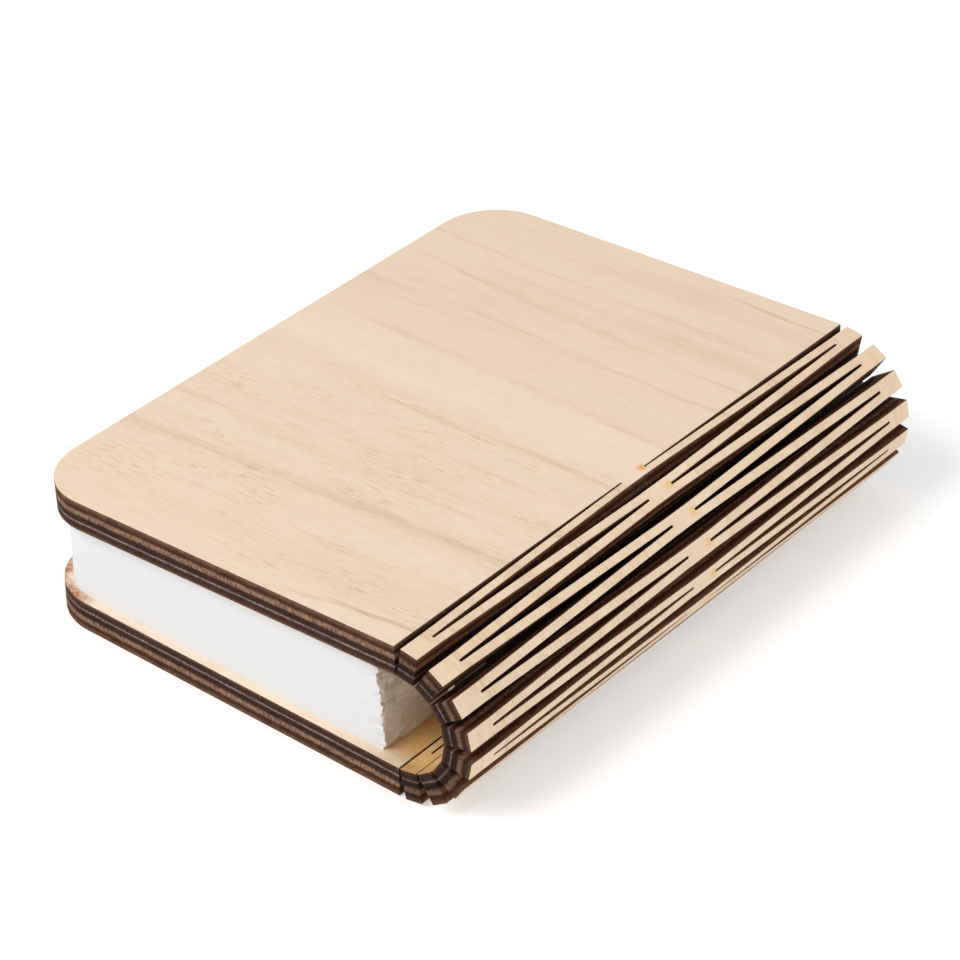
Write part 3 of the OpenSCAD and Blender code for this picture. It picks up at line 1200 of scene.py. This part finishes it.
class SheetMesh:
    """Collects the points and faces of one piece, with their place in the flat sheet."""

    def __init__(self, spine: Spine) -> None:
        """Starts with no points.

        Args:
            spine: The chain that the piece belongs to.
        """
        self.spine = spine
        self.points: list[Vector] = []
        self.flat: list[Vector] = []
        self.faces: list[tuple[int, ...]] = []
        self.sorts: list[Face] = []

    def point(self, where: Vector, flat: Vector) -> int:
        """Adds a point.

        Args:
            where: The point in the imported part's frame.
            flat: Its place in the flat sheet.

        Returns:
            Its index.
        """
        self.points.append(where)
        self.flat.append(flat)
        return len(self.points) - 1

    def face(self, corners: list[int], sort: Face) -> None:
        """Adds a face of one sort of surface."""
        self.faces.append(tuple(corners))
        self.sorts.append(sort)

    def band(self, first: list[int], second: list[int], sorts: list[Face]) -> None:
        """Joins two closed rings of points with four-sided faces.

        Args:
            first: The first ring.
            second: The second ring, as long.
            sorts: The sort of each face round the ring.
        """
        for k, sort in enumerate(sorts):
            after = (k + 1) % len(first)
            self.face([first[k], first[after], second[after], second[k]], sort)

    def slab(self, body: int, outline: Outline, low: float, seam: float) -> None:
        """Adds a flat piece of the sheet with bevelled edges.

        Args:
            body: The body whose coordinates the outline uses.
            outline: Counter-clockwise points of u and y.
            low: n of the outer face.
            seam: Distance of its seams with the strips from the middle of the spine.
        """
        bevel = self.spine.edge_r
        high = low + 2 * self.spine.half_t
        small = inset(outline, bevel, seam)
        rings = []
        for ring, n in ((small, low), (outline, low + bevel), (outline, high - bevel),
                        (small, high)):
            rings.append([self.point(self.spine.place(body, u, y, n),
                                     Vector((self.spine.flat_u(body, u), y, n - low)))
                          for u, y in ring])
        for (first, second), sort in zip(pairwise(rings), (Face.OUTER, Face.CUT, Face.INNER)):
            self.band(first, second, [sort] * len(outline))
        self.face(rings[0][::-1], Face.OUTER)
        self.face(rings[-1], Face.INNER)

    def build(self, name: str, materials: list[bpy.types.Material],
              smooth: float = 30.0) -> bpy.types.Object:
        """Makes the object.

        Args:
            name: The piece's name.
            materials: One material, or one for each sort of surface.
            smooth: Edges flatter than this many degrees are shaded smooth.

        Returns:
            The object, linked to the scene.
        """
        mesh = bpy.data.meshes.new(name)
        mesh.from_pydata([tuple(point) for point in self.points], [], self.faces)
        kept = mesh.attributes.new(FLAT, "FLOAT_VECTOR", "POINT")
        kept.data.foreach_set("vector", [part for flat in self.flat for part in flat])
        for material in materials:
            mesh.materials.append(material)
        if len(materials) > 1:
            mesh.polygons.foreach_set("material_index", [sort.value for sort in self.sorts])
        mesh.shade_smooth()
        mesh.set_sharp_from_angle(angle=math.radians(smooth))
        mesh.validate()
        return add_to_scene(name, mesh)


@dataclass
class Sheet:
    """The laser-cut sheet: covers, end bars, bridges and torsion strips.

    Attributes:
        spine: The chain of bodies.
        wood: Materials of the covers, by sort of surface.
        lattice: Materials of the spine's pieces, by sort of surface.
        corner_steps: Chords in a quarter of a fore corner.
        slit_steps: Chords in the round end of a slit or kerf.
        strip_steps: Sections along half a strip.
    """

    spine: Spine
    wood: list[bpy.types.Material]
    lattice: list[bpy.types.Material]
    corner_steps: int = 20
    slit_steps: int = 8
    strip_steps: int = 26

    def cover_outline(self) -> Outline:
        """The lower cover's outline with its tab and the round ends of its kerfs.

        Returns:
            The points.
        """
        spine = self.spine
        tab, kerf = spine.bar_half, spine.kerf_u
        slit_r = (spine.slit_wid / 2 - kerf) / 2
        centre = kerf + slit_r
        half, bridge, r = spine.half_len, spine.bridge_half, spine.corner_r
        fore = kerf - spine.cover_wid
        return [(kerf, -half),
                *arc((centre, -bridge), slit_r, 180, 0, self.slit_steps),
                (tab, -bridge), (tab, bridge),
                *arc((centre, bridge), slit_r, 0, -180, self.slit_steps),
                (kerf, half),
                *arc((fore + r, half - r), r, 90, 180, self.corner_steps),
                *arc((fore + r, r - half), r, 180, 270, self.corner_steps)]

    def bar_outline(self, end: End) -> Outline:
        """The outline of a bar at one end of the spine, with the slit's round end.

        Args:
            end: Which end of the spine.

        Returns:
            The points.
        """
        spine = self.spine
        w, start, stop = spine.bar_half, -spine.half_len, -spine.strip_end
        near = [(-w, start), (w, start), (w, stop),
                *arc((0, stop), spine.slit_wid / 2, 0, -180, self.slit_steps), (-w, stop)]
        return near if end is End.NEAR else [(u, -y) for u, y in reversed(near)]

    def bridge_outline(self) -> Outline:
        """The outline of a bridge with the round ends of both its slits.

        Returns:
            The points.
        """
        spine = self.spine
        w, r, half = spine.bar_half, spine.slit_wid / 2, spine.bridge_half
        return [(-w, -half), *arc((0, -half), r, 180, 0, self.slit_steps), (w, -half),
                (w, half), *arc((0, half), r, 0, -180, self.slit_steps), (-w, half)]

    def covers(self) -> None:
        """Builds both covers."""
        spine = self.spine
        outline = self.cover_outline()
        mirrored = [(-u, y) for u, y in reversed(outline)]
        for body, points in ((0, outline), (spine.last, mirrored)):
            mesh = SheetMesh(spine)
            mesh.slab(body, points, -spine.half_t - spine.lift, spine.bridge_half)
            name = spine.names[body]
            self.keep(mesh.build(f"{name}_panel", self.wood), name, name)

    def bars_and_bridges(self) -> None:
        """Builds the end bars and the bridges."""
        spine = self.spine
        for body in range(1, spine.last):
            name = spine.names[body]
            mesh = SheetMesh(spine)
            if body % 2:
                seam, outlines = spine.strip_end, [self.bar_outline(end) for end in End]
            else:
                seam, outlines = spine.bridge_half, [self.bridge_outline()]
            for outline in outlines:
                mesh.slab(body, outline, -spine.half_t, seam)
            self.keep(mesh.build(f"{name}_wood", self.lattice), name, name)

    def keep(self, piece: bpy.types.Object, node: str, body: str) -> None:
        """Lets a piece of wood stand for a node and ride on its body.

        Args:
            piece: The piece.
            node: The node that it replaces.
            body: The body that it rides on.
        """
        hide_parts(node)
        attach(piece, body)

    def strips(self) -> None:
        """Builds the torsion strips, each as two halves swept with the twist of the closed spine
        and left in place, not tied to the bodies.
        """
        spine = self.spine
        for index in range(1, spine.last + 1):
            bar, bridge = (index, index - 1) if index % 2 else (index - 1, index)
            for end in End:
                mesh = self.half_strip(index, bridge, bar, end)
                piece = mesh.build(f"strip_{index}_{end.name.lower()}", self.lattice)
                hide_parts(f"strip_{index}")
                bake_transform(piece)

    def half_strip(self, index: int, bridge: int, bar: int, end: End) -> SheetMesh:
        """Sweeps half a strip from its bridge to its bar.

        Args:
            index: Number of the strip, which joins bodies index - 1 and index.
            bridge: The body at its middle.
            bar: The body at its end.
            end: Which end of the spine.

        Returns:
            The mesh.
        """
        spine = self.spine
        mesh = SheetMesh(spine)
        half, thick, bevel = spine.strip_wid / 2, spine.half_t, spine.edge_r
        section = [(-half + bevel, -thick), (half - bevel, -thick), (half, -thick + bevel),
                   (half, thick - bevel), (half - bevel, thick), (-half + bevel, thick),
                   (-half, thick - bevel), (-half, -thick + bevel)]
        sorts = [Face.OUTER, Face.OUTER, Face.CUT, Face.INNER,
                 Face.INNER, Face.INNER, Face.CUT, Face.OUTER]
        shift = (spine.strip_wid + spine.slit_wid) / 2
        offsets = {body: -shift if body == index else shift for body in (bridge, bar)}
        ends = [spine.place(body, u, 0, -spine.lift if body in (0, spine.last) else 0)
                for body, u in offsets.items()]
        flats = [spine.flat_u(body, u) for body, u in offsets.items()]
        rings = []
        for step in range(self.strip_steps + 1):
            share = step / self.strip_steps
            angle = (bridge + share * (bar - bridge)) * spine.bend
            centre = ends[0].lerp(ends[1], share)
            flat_u = flats[0] + share * (flats[1] - flats[0])
            y = end.value * (spine.bridge_half + share * (spine.strip_end - spine.bridge_half))
            rings.append([
                mesh.point(centre + Vector((0, y, 0)) + u * spine.along(angle)
                           + n * spine.inward(angle),
                           Vector((flat_u + u, y, n + thick)))
                for u, n in section])
        for first, second in pairwise(rings):
            if end is End.NEAR:
                mesh.band(first, second, sorts)
            else:
                mesh.band(second, first, sorts)
        caps = (rings[0][::-1], rings[-1])
        for cap in caps if end is End.NEAR else (caps[0][::-1], caps[1][::-1]):
            mesh.face(cap, Face.CUT)
        return mesh

    def build(self) -> None:
        """Builds every piece of the sheet."""
        self.covers()
        self.bars_and_bridges()
        self.strips()
        LOG.info("plywood: 2 covers, %d bars and bridges, %d half strips",
                 self.spine.last - 1, 2 * self.spine.last)


# --------------------------------------------------------------------------
# Pages
# --------------------------------------------------------------------------


@dataclass
class PageFan:
    """The pleated paper, which fills the closed lamp.

    Between two neighbouring bodies the paper has four panels. In the real paper their folds
    lie by turns at the spine and at the fore edge, so each panel turns with the first
    body, the second body or a share between them, and the paper fans out as the lamp
    opens. Here each panel is a separate slab that stays where it is built.

    Attributes:
        spine: The chain of bodies.
        paper: Materials of the paper's faces and of its edges at the spine, whose warm
        tint is painted shade of the hollow.
        gap: Gap between two closed panels.
        ragged: How uneven the paper is along the spine.
        lean: How far its top stands back from the spine.
        shaped: Width of the paper that leans and is uneven.
        uneven: How uneven the paper's cut ends are.
        panels: Panels between two bodies.
        rows: Rows of points along the spine.
        crowding: A power that crowds the rows towards the spine's ends where it is below 1.
        end_power: The higher, the nearer to the paper's ends its unevenness starts.
        corner_turns: Angles in degrees of the columns round a fore corner.
        straight_columns: Columns between the fore corners and the shaped part.
        shaped_columns: Columns in the shaped part, as shares of its width.
        lumps: Waves in a metre along and up its rough edge, and the noise's third place.
        broad_lumps: The same for its broader waves.
        chips: The same in X and Z for its cut ends.
    """

    spine: Spine
    paper: list[bpy.types.Material]
    gap: float = 0.004 * MM
    ragged: float = 0.7 * MM
    lean: float = 1.5 * MM
    shaped: float = 5.0 * MM
    uneven: float = 0.012 * MM
    panels: int = 4
    rows: int = 44
    crowding: float = 0.6
    end_power: int = 12
    corner_turns: tuple[int, ...] = (0, 10, 20, 30, 40, 50, 60, 70, 80)
    straight_columns: int = 7
    shaped_columns: tuple[float, ...] = (0.3, 0.6, 0.8, 0.92, 1.0)
    lumps: tuple[float, float, float] = (1100, 1300, 0.3)
    broad_lumps: tuple[float, float, float] = (200, 400, 7.7)
    chips: tuple[float, float, float] = (900, 1500, 4.1)
    front: float = field(init=False)
    back: float = field(init=False)
    half_y: float = field(init=False)
    corner_r: float = field(init=False)
    floor_z: float = field(init=False)

    def __post_init__(self) -> None:
        """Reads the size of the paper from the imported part."""
        low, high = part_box("end_paper_lower")
        self.front, self.back, self.half_y = low.x, high.x, high.y
        self.corner_r = self.spine.corner_r - (self.front + self.spine.cover_wid / 2)
        self.floor_z = low.z

    def height(self, x: float, share: float) -> float:
        """Height of the paper's plane at a share of the wedge between the covers.

        Args:
            x: Place in X.
            share: 0 on the lower cover and 1 on the upper one.

        Returns:
            The height.
        """
        spine = self.spine
        tilt = spine.last * spine.bend - math.pi
        under = spine.place(spine.last, 0, 0, spine.half_t - spine.lift)
        top = under.z + math.tan(tilt) * (x - under.x)
        return self.floor_z + share * (top - self.floor_z)

    def stations(self) -> list[float]:
        """Places in X of the columns of points, closer where the paper is shaped.

        Returns:
            The places, from the fore edge to the spine.
        """
        curved = [self.front + self.corner_r * (1 - math.cos(math.radians(turn)))
                  for turn in self.corner_turns]
        start, flat_end, count = curved[-1], self.back - self.shaped, self.straight_columns
        straight = [start + (flat_end - start) * k / count for k in range(1, count + 1)]
        return [*curved, *straight,
                *(flat_end + self.shaped * share for share in self.shaped_columns)]

    def half_width(self, x: float) -> float:
        """Half the length of the paper along the spine at a place in X."""
        past = max(self.front + self.corner_r - x, 0.0)
        return self.half_y - self.corner_r + math.sqrt(self.corner_r**2 - past**2)

    def point(self, x: float, v: float, share: float) -> tuple[float, float]:
        """Moves a point of a panel by the unevenness of the paper's edges.

        Args:
            x: Its place in X.
            v: Its place along the spine, from -1 to 1.
            share: Its share of the wedge between the covers.

        Returns:
            Its new places in X and Y.
        """
        near_back = max(0.0, 1 - (self.back - x) / self.shaped)
        y, z = v * self.half_width(x), self.height(x, share)
        lump, broad = (noise.noise(Vector((y * wave, z * rise, third)))
                       for wave, rise, third in (self.lumps, self.broad_lumps))
        wave, rise, third = self.chips
        chip = noise.noise(Vector((x * wave, z * rise, third * v)))
        px = x - near_back * self.lean * share
        px += near_back**2 * self.ragged * (0.6 * lump + 0.9 * broad - 0.1)
        trim = self.uneven * (chip - 0.8) * (1 + 30 * near_back**2)
        return px, y + math.copysign(abs(v) ** self.end_power, v) * trim

    def panel(self, low: float, high: float) -> SheetMesh:
        """Builds one panel of paper.

        Args:
            low: Share of the wedge at its lower face.
            high: Share of the wedge at its upper face.

        Returns:
            The mesh.
        """
        mesh = SheetMesh(self.spine)
        columns, rows = self.stations(), []
        for row in range(self.rows + 1):
            v = -math.cos(math.pi * row / self.rows)
            rows.append(math.copysign(abs(v) ** self.crowding, v))
        sides: list[list[list[int]]] = []
        for share, lift in ((low, self.gap / 2), (high, -self.gap / 2)):
            grid = []
            for x in columns:
                line = []
                for v in rows:
                    px, py = self.point(x, v, share)
                    line.append(mesh.point(
                        Vector((px, py, self.height(px, share) + lift)),
                        Vector((x, v * self.half_width(x), self.height(x, share)))))
                grid.append(line)
            sides.append(grid)
        bottom, top = sides
        for grid, flip in ((bottom, False), (top, True)):
            for a, b in pairwise(grid):
                for k in range(self.rows):
                    quad = [a[k], a[k + 1], b[k + 1], b[k]]
                    mesh.face(quad[::-1] if flip else quad, Face.OUTER)
        rim = [*((c, 0) for c in range(len(columns))),
               *((len(columns) - 1, r) for r in range(1, self.rows + 1)),
               *((c, self.rows) for c in range(len(columns) - 2, -1, -1)),
               *((0, r) for r in range(self.rows - 1, 0, -1))]
        # The ragged edges at the spine take the second material, whose warm tint is painted
        # shade of the hollow.
        torn_and_shaded = len(columns) - 3
        mesh.band([bottom[c][r] for c, r in rim], [top[c][r] for c, r in rim],
                  [Face.INNER if c >= torn_and_shaded and 0 < r < self.rows else Face.OUTER
                   for c, r in rim])
        return mesh

    @staticmethod
    def turn_at(fold: float) -> float:
        """How far along a blend a fold must lie to turn by a share of the joint."""
        return 0.5 - math.sin(math.asin(1 - 2 * fold) / 3)

    def build(self) -> None:
        """Builds the fan and the two end papers."""
        spine = self.spine
        share_of = 1 / len(spine.names)
        for index in range(1, spine.last + 1):
            for k in range(self.panels):
                low = (index - 0.5 + k / self.panels) * share_of
                high = (index - 0.5 + (k + 1) / self.panels) * share_of
                piece = self.panel(low, high).build(f"pleat_{index}_{k + 1}", self.paper)
                self.fold(piece, index, k)
                if index < spine.last:
                    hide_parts(f"leaf_{index}")
        for node, body, low, high in (
                ("end_paper_lower", 0, 0.0, 0.5), ("end_paper_upper", spine.last, -0.5, 0.0)):
            base = 0 if body == 0 else 1
            mesh = self.panel(base + low * share_of, base + high * share_of)
            piece = mesh.build(f"{node}_sheet", self.paper)
            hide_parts(node)
            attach(piece, spine.names[body])
        LOG.info("paper: %d panels and 2 end papers", spine.last * self.panels)

    def fold(self, piece: bpy.types.Object, index: int, panel: int) -> None:
        """Bakes a panel's place into its mesh; the panel is not blended between the bodies of a
        joint.

        Args:
            piece: The panel.
            index: Number of the joint; not used.
            panel: Number of the panel, from 0; not used.
        """
        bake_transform(piece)


# --------------------------------------------------------------------------
# Light core, magnets and studio
# --------------------------------------------------------------------------


@dataclass
class LightCore:
    """The light core and the magnets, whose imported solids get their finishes.

    Attributes:
        effects: The shared node groups.
    """

    effects: Effects

    def finishes(self) -> dict[str, PlainFinish]:
        """The finish of each node.

        Returns:
            The finishes by node.
        """
        black = PlainFinish("satin_black_plastic", srgb(34, 33, 32), srgb(26, 25, 25),
                            (0.42, 0.58), grain=900)
        opal = PlainFinish("opal_plastic", srgb(246, 242, 232), srgb(240, 235, 222),
                           (0.5, 0.6), grain=250)
        board = PlainFinish("green_board", srgb(38, 98, 60), srgb(30, 82, 50), (0.3, 0.5),
                            grain=600)
        steel = PlainFinish("nickelled_steel", srgb(196, 196, 192), srgb(182, 180, 174),
                            (0.16, 0.34), metallic=1.0, grain=1500, relief=0.004 * MM)
        return {
            "core_housing": black, "core_diffuser": opal, "lamp_board": board,
            "charge_board": board, "magnets_lower": steel, "magnets_upper": steel,
            "charge_socket": steel,
            "leds": PlainFinish("yellow_phosphor", srgb(240, 214, 96), srgb(232, 196, 70),
                                (0.3, 0.45), grain=1200),
            "battery": PlainFinish("foil_pouch", srgb(190, 192, 196), srgb(172, 174, 180),
                                   (0.25, 0.45), metallic=0.8, grain=300, relief=0.03 * MM),
            "reed_switch": PlainFinish("thin_glass", srgb(206, 226, 216), srgb(196, 218, 208),
                                       (0.03, 0.08), grain=500, transmission=0.85)}

    def build(self) -> None:
        """Gives each node its material."""
        made: dict[str, bpy.types.Material] = {}
        for node, finish in self.finishes().items():
            if finish.name not in made:
                made[finish.name] = finish.material(self.effects)
            materials = frame["nodes"][node].data.materials
            materials.clear()
            materials.append(made[finish.name])
        LOG.info("light core and magnets: %d nodes", len(self.finishes()))


@dataclass(frozen=True)
class SoftLamp:
    """A soft lamp that points at the middle of the object.

    Attributes:
        name: The lamp's name.
        place: Where it hangs.
        size: Side of its square.
        power: Its power in watts.
        aim: Height of the point that it points at.
    """

    name: str
    place: tuple[float, float, float]
    size: float
    power: float
    aim: float = 15 * MM

    def build(self) -> None:
        """Adds the lamp."""
        data = bpy.data.lights.new(self.name, "AREA")
        data.size = self.size
        data.energy = self.power
        lamp = add_to_scene(self.name, data)
        lamp.location = self.place
        away = Vector(self.place) - Vector((0, 0, self.aim))
        lamp.rotation_euler = away.to_track_quat("Z", "Y").to_euler()


@dataclass
class Studio:
    """The pale floor, the soft lights and the camera.

    Attributes:
        azimuth: Direction of the view round the lamp, in degrees.
        elevation: Height of the view above the floor, in degrees.
        camera_at: Where the camera stands.
        lens: Focal length in mm on the sensor's width.
        sensor: Width of the sensor in mm.
        floor_size: Side of the floor.
        floor_gap: How far the floor lies below the lamp, so that they don't flicker.
        floor_glow: How much the floor is lifted towards white where it is seen.
        sky: Strength of the even light.
        lamps: The soft lamps.
    """

    azimuth: float = 39.2816
    elevation: float = 34.3668
    camera_at: tuple[float, float, float] = (0.32365, -0.386565, 0.355855)
    lens: float = 130.95
    sensor: float = 36.0
    floor_size: float = 6.0
    floor_gap: float = 0.02 * MM
    floor_glow: float = 0.3
    sky: float = 0.45
    lamps: tuple[SoftLamp, ...] = (
        SoftLamp("key_lamp", (-0.42, -0.85, 1.0), size=0.8, power=11.3),
        SoftLamp("fill_lamp", (1.05, 0.3, 0.5), size=0.8, power=5.0))

    def floor(self) -> None:
        """Builds the floor."""
        half = self.floor_size / 2
        mesh = bpy.data.meshes.new("floor")
        mesh.from_pydata([(-half, -half, 0), (half, -half, 0), (half, half, 0),
                          (-half, half, 0)], [], [(0, 1, 2, 3)])
        floor = add_to_scene("floor", mesh)
        floor.location.z = -self.floor_gap
        graph, bsdf, material = shader("white_floor")
        graph.fill(bsdf, Base_Color=(0.93, 0.93, 0.93), Roughness=0.9,
                   Specular_IOR_Level=0.0, Emission_Color=(1.0, 1.0, 1.0),
                   Emission_Strength=graph.product(graph.background(), self.floor_glow))
        mesh.materials.append(material)

    def world(self) -> None:
        """Sets the even light, which shows as white."""
        world = bpy.data.worlds.new("even_light")
        bpy.context.scene.world = world
        world.use_nodes = True
        graph = Graph(world.node_tree)
        graph.fill(world.node_tree.nodes["Background"], Color=(1.0, 1.0, 1.0),
                   Strength=graph.math("MULTIPLY_ADD", graph.background(), 1.0 - self.sky,
                                       self.sky))

    def camera(self) -> None:
        """Adds the camera."""
        data = bpy.data.cameras.new("camera")
        data.lens, data.sensor_width = self.lens, self.sensor
        camera = add_to_scene("camera", data)
        a, e = math.radians(self.azimuth), math.radians(self.elevation)
        back = Vector((math.sin(a) * math.cos(e), -math.cos(a) * math.cos(e), math.sin(e)))
        camera.rotation_mode = "QUATERNION"
        camera.rotation_quaternion = (-back).to_track_quat("-Z", "Y")
        camera.location = self.camera_at
        bpy.context.scene.camera = camera

    def build(self) -> None:
        """Builds the whole stage."""
        bpy.context.scene.view_settings.view_transform = "Standard"
        self.floor()
        self.world()
        for lamp in self.lamps:
            lamp.build()
        self.camera()
        LOG.info("studio: floor, even light, %d lamps and a camera", len(self.lamps))


def main() -> None:
    logging.basicConfig(level=logging.INFO, format="%(name)s: %(message)s")
    spine = Spine.from_frame(frame)
    effects = Effects(spine)
    outer = VeneerFinish("pale_veneer", srgb(245, 223, 197), srgb(238, 212, 185),
                         srgb(214, 182, 152), srgb(230, 170, 80), reach=0.12)
    # The covers' inner faces turn darker amber beside the kerfs: laser smoke and painted shade.
    inner = VeneerFinish("inner_veneer", srgb(250, 236, 215), srgb(245, 228, 204),
                         srgb(218, 184, 140), srgb(166, 92, 30), reach=3.8, stained=0.08,
                         smoked_and_shaded=0.95)
    spine_face = VeneerFinish("spine_veneer", srgb(240, 216, 187), srgb(233, 205, 174),
                              srgb(206, 171, 137), srgb(236, 188, 106), reach=0.12)
    hollow = VeneerFinish("hollow_veneer", srgb(242, 212, 160), srgb(228, 186, 126),
                          srgb(190, 134, 76), srgb(176, 104, 44), reach=3.0, stained=0.5)
    edge = CutFinish("charred_edge")
    kerf = CutFinish("charred_kerf", burn=0.42, kerf_burn=0.24, rust=0.6)
    wood = [finish.material(effects) for finish in (outer, inner, edge)]
    lattice = [finish.material(effects) for finish in (spine_face, hollow, kerf)]
    Sheet(spine, wood, lattice).build()
    paper = PaperFinish("felted_paper", srgb(242, 242, 242), srgb(236, 236, 236),
                        relief=0.02 * MM)
    # The ragged paper at the spine: bumpy, with a warm tint that is painted shade of the hollow
    # under the spine.
    torn_and_shaded = PaperFinish("torn_paper_painted_shade", srgb(249, 243, 234), srgb(236, 225, 211),
                       relief=0.07 * MM)
    PageFan(spine, [finish.material(effects) for finish in (paper, torn_and_shaded)]).build()
    LightCore(effects).build()
    Studio().build()


if __name__ == "__main__":
    main()
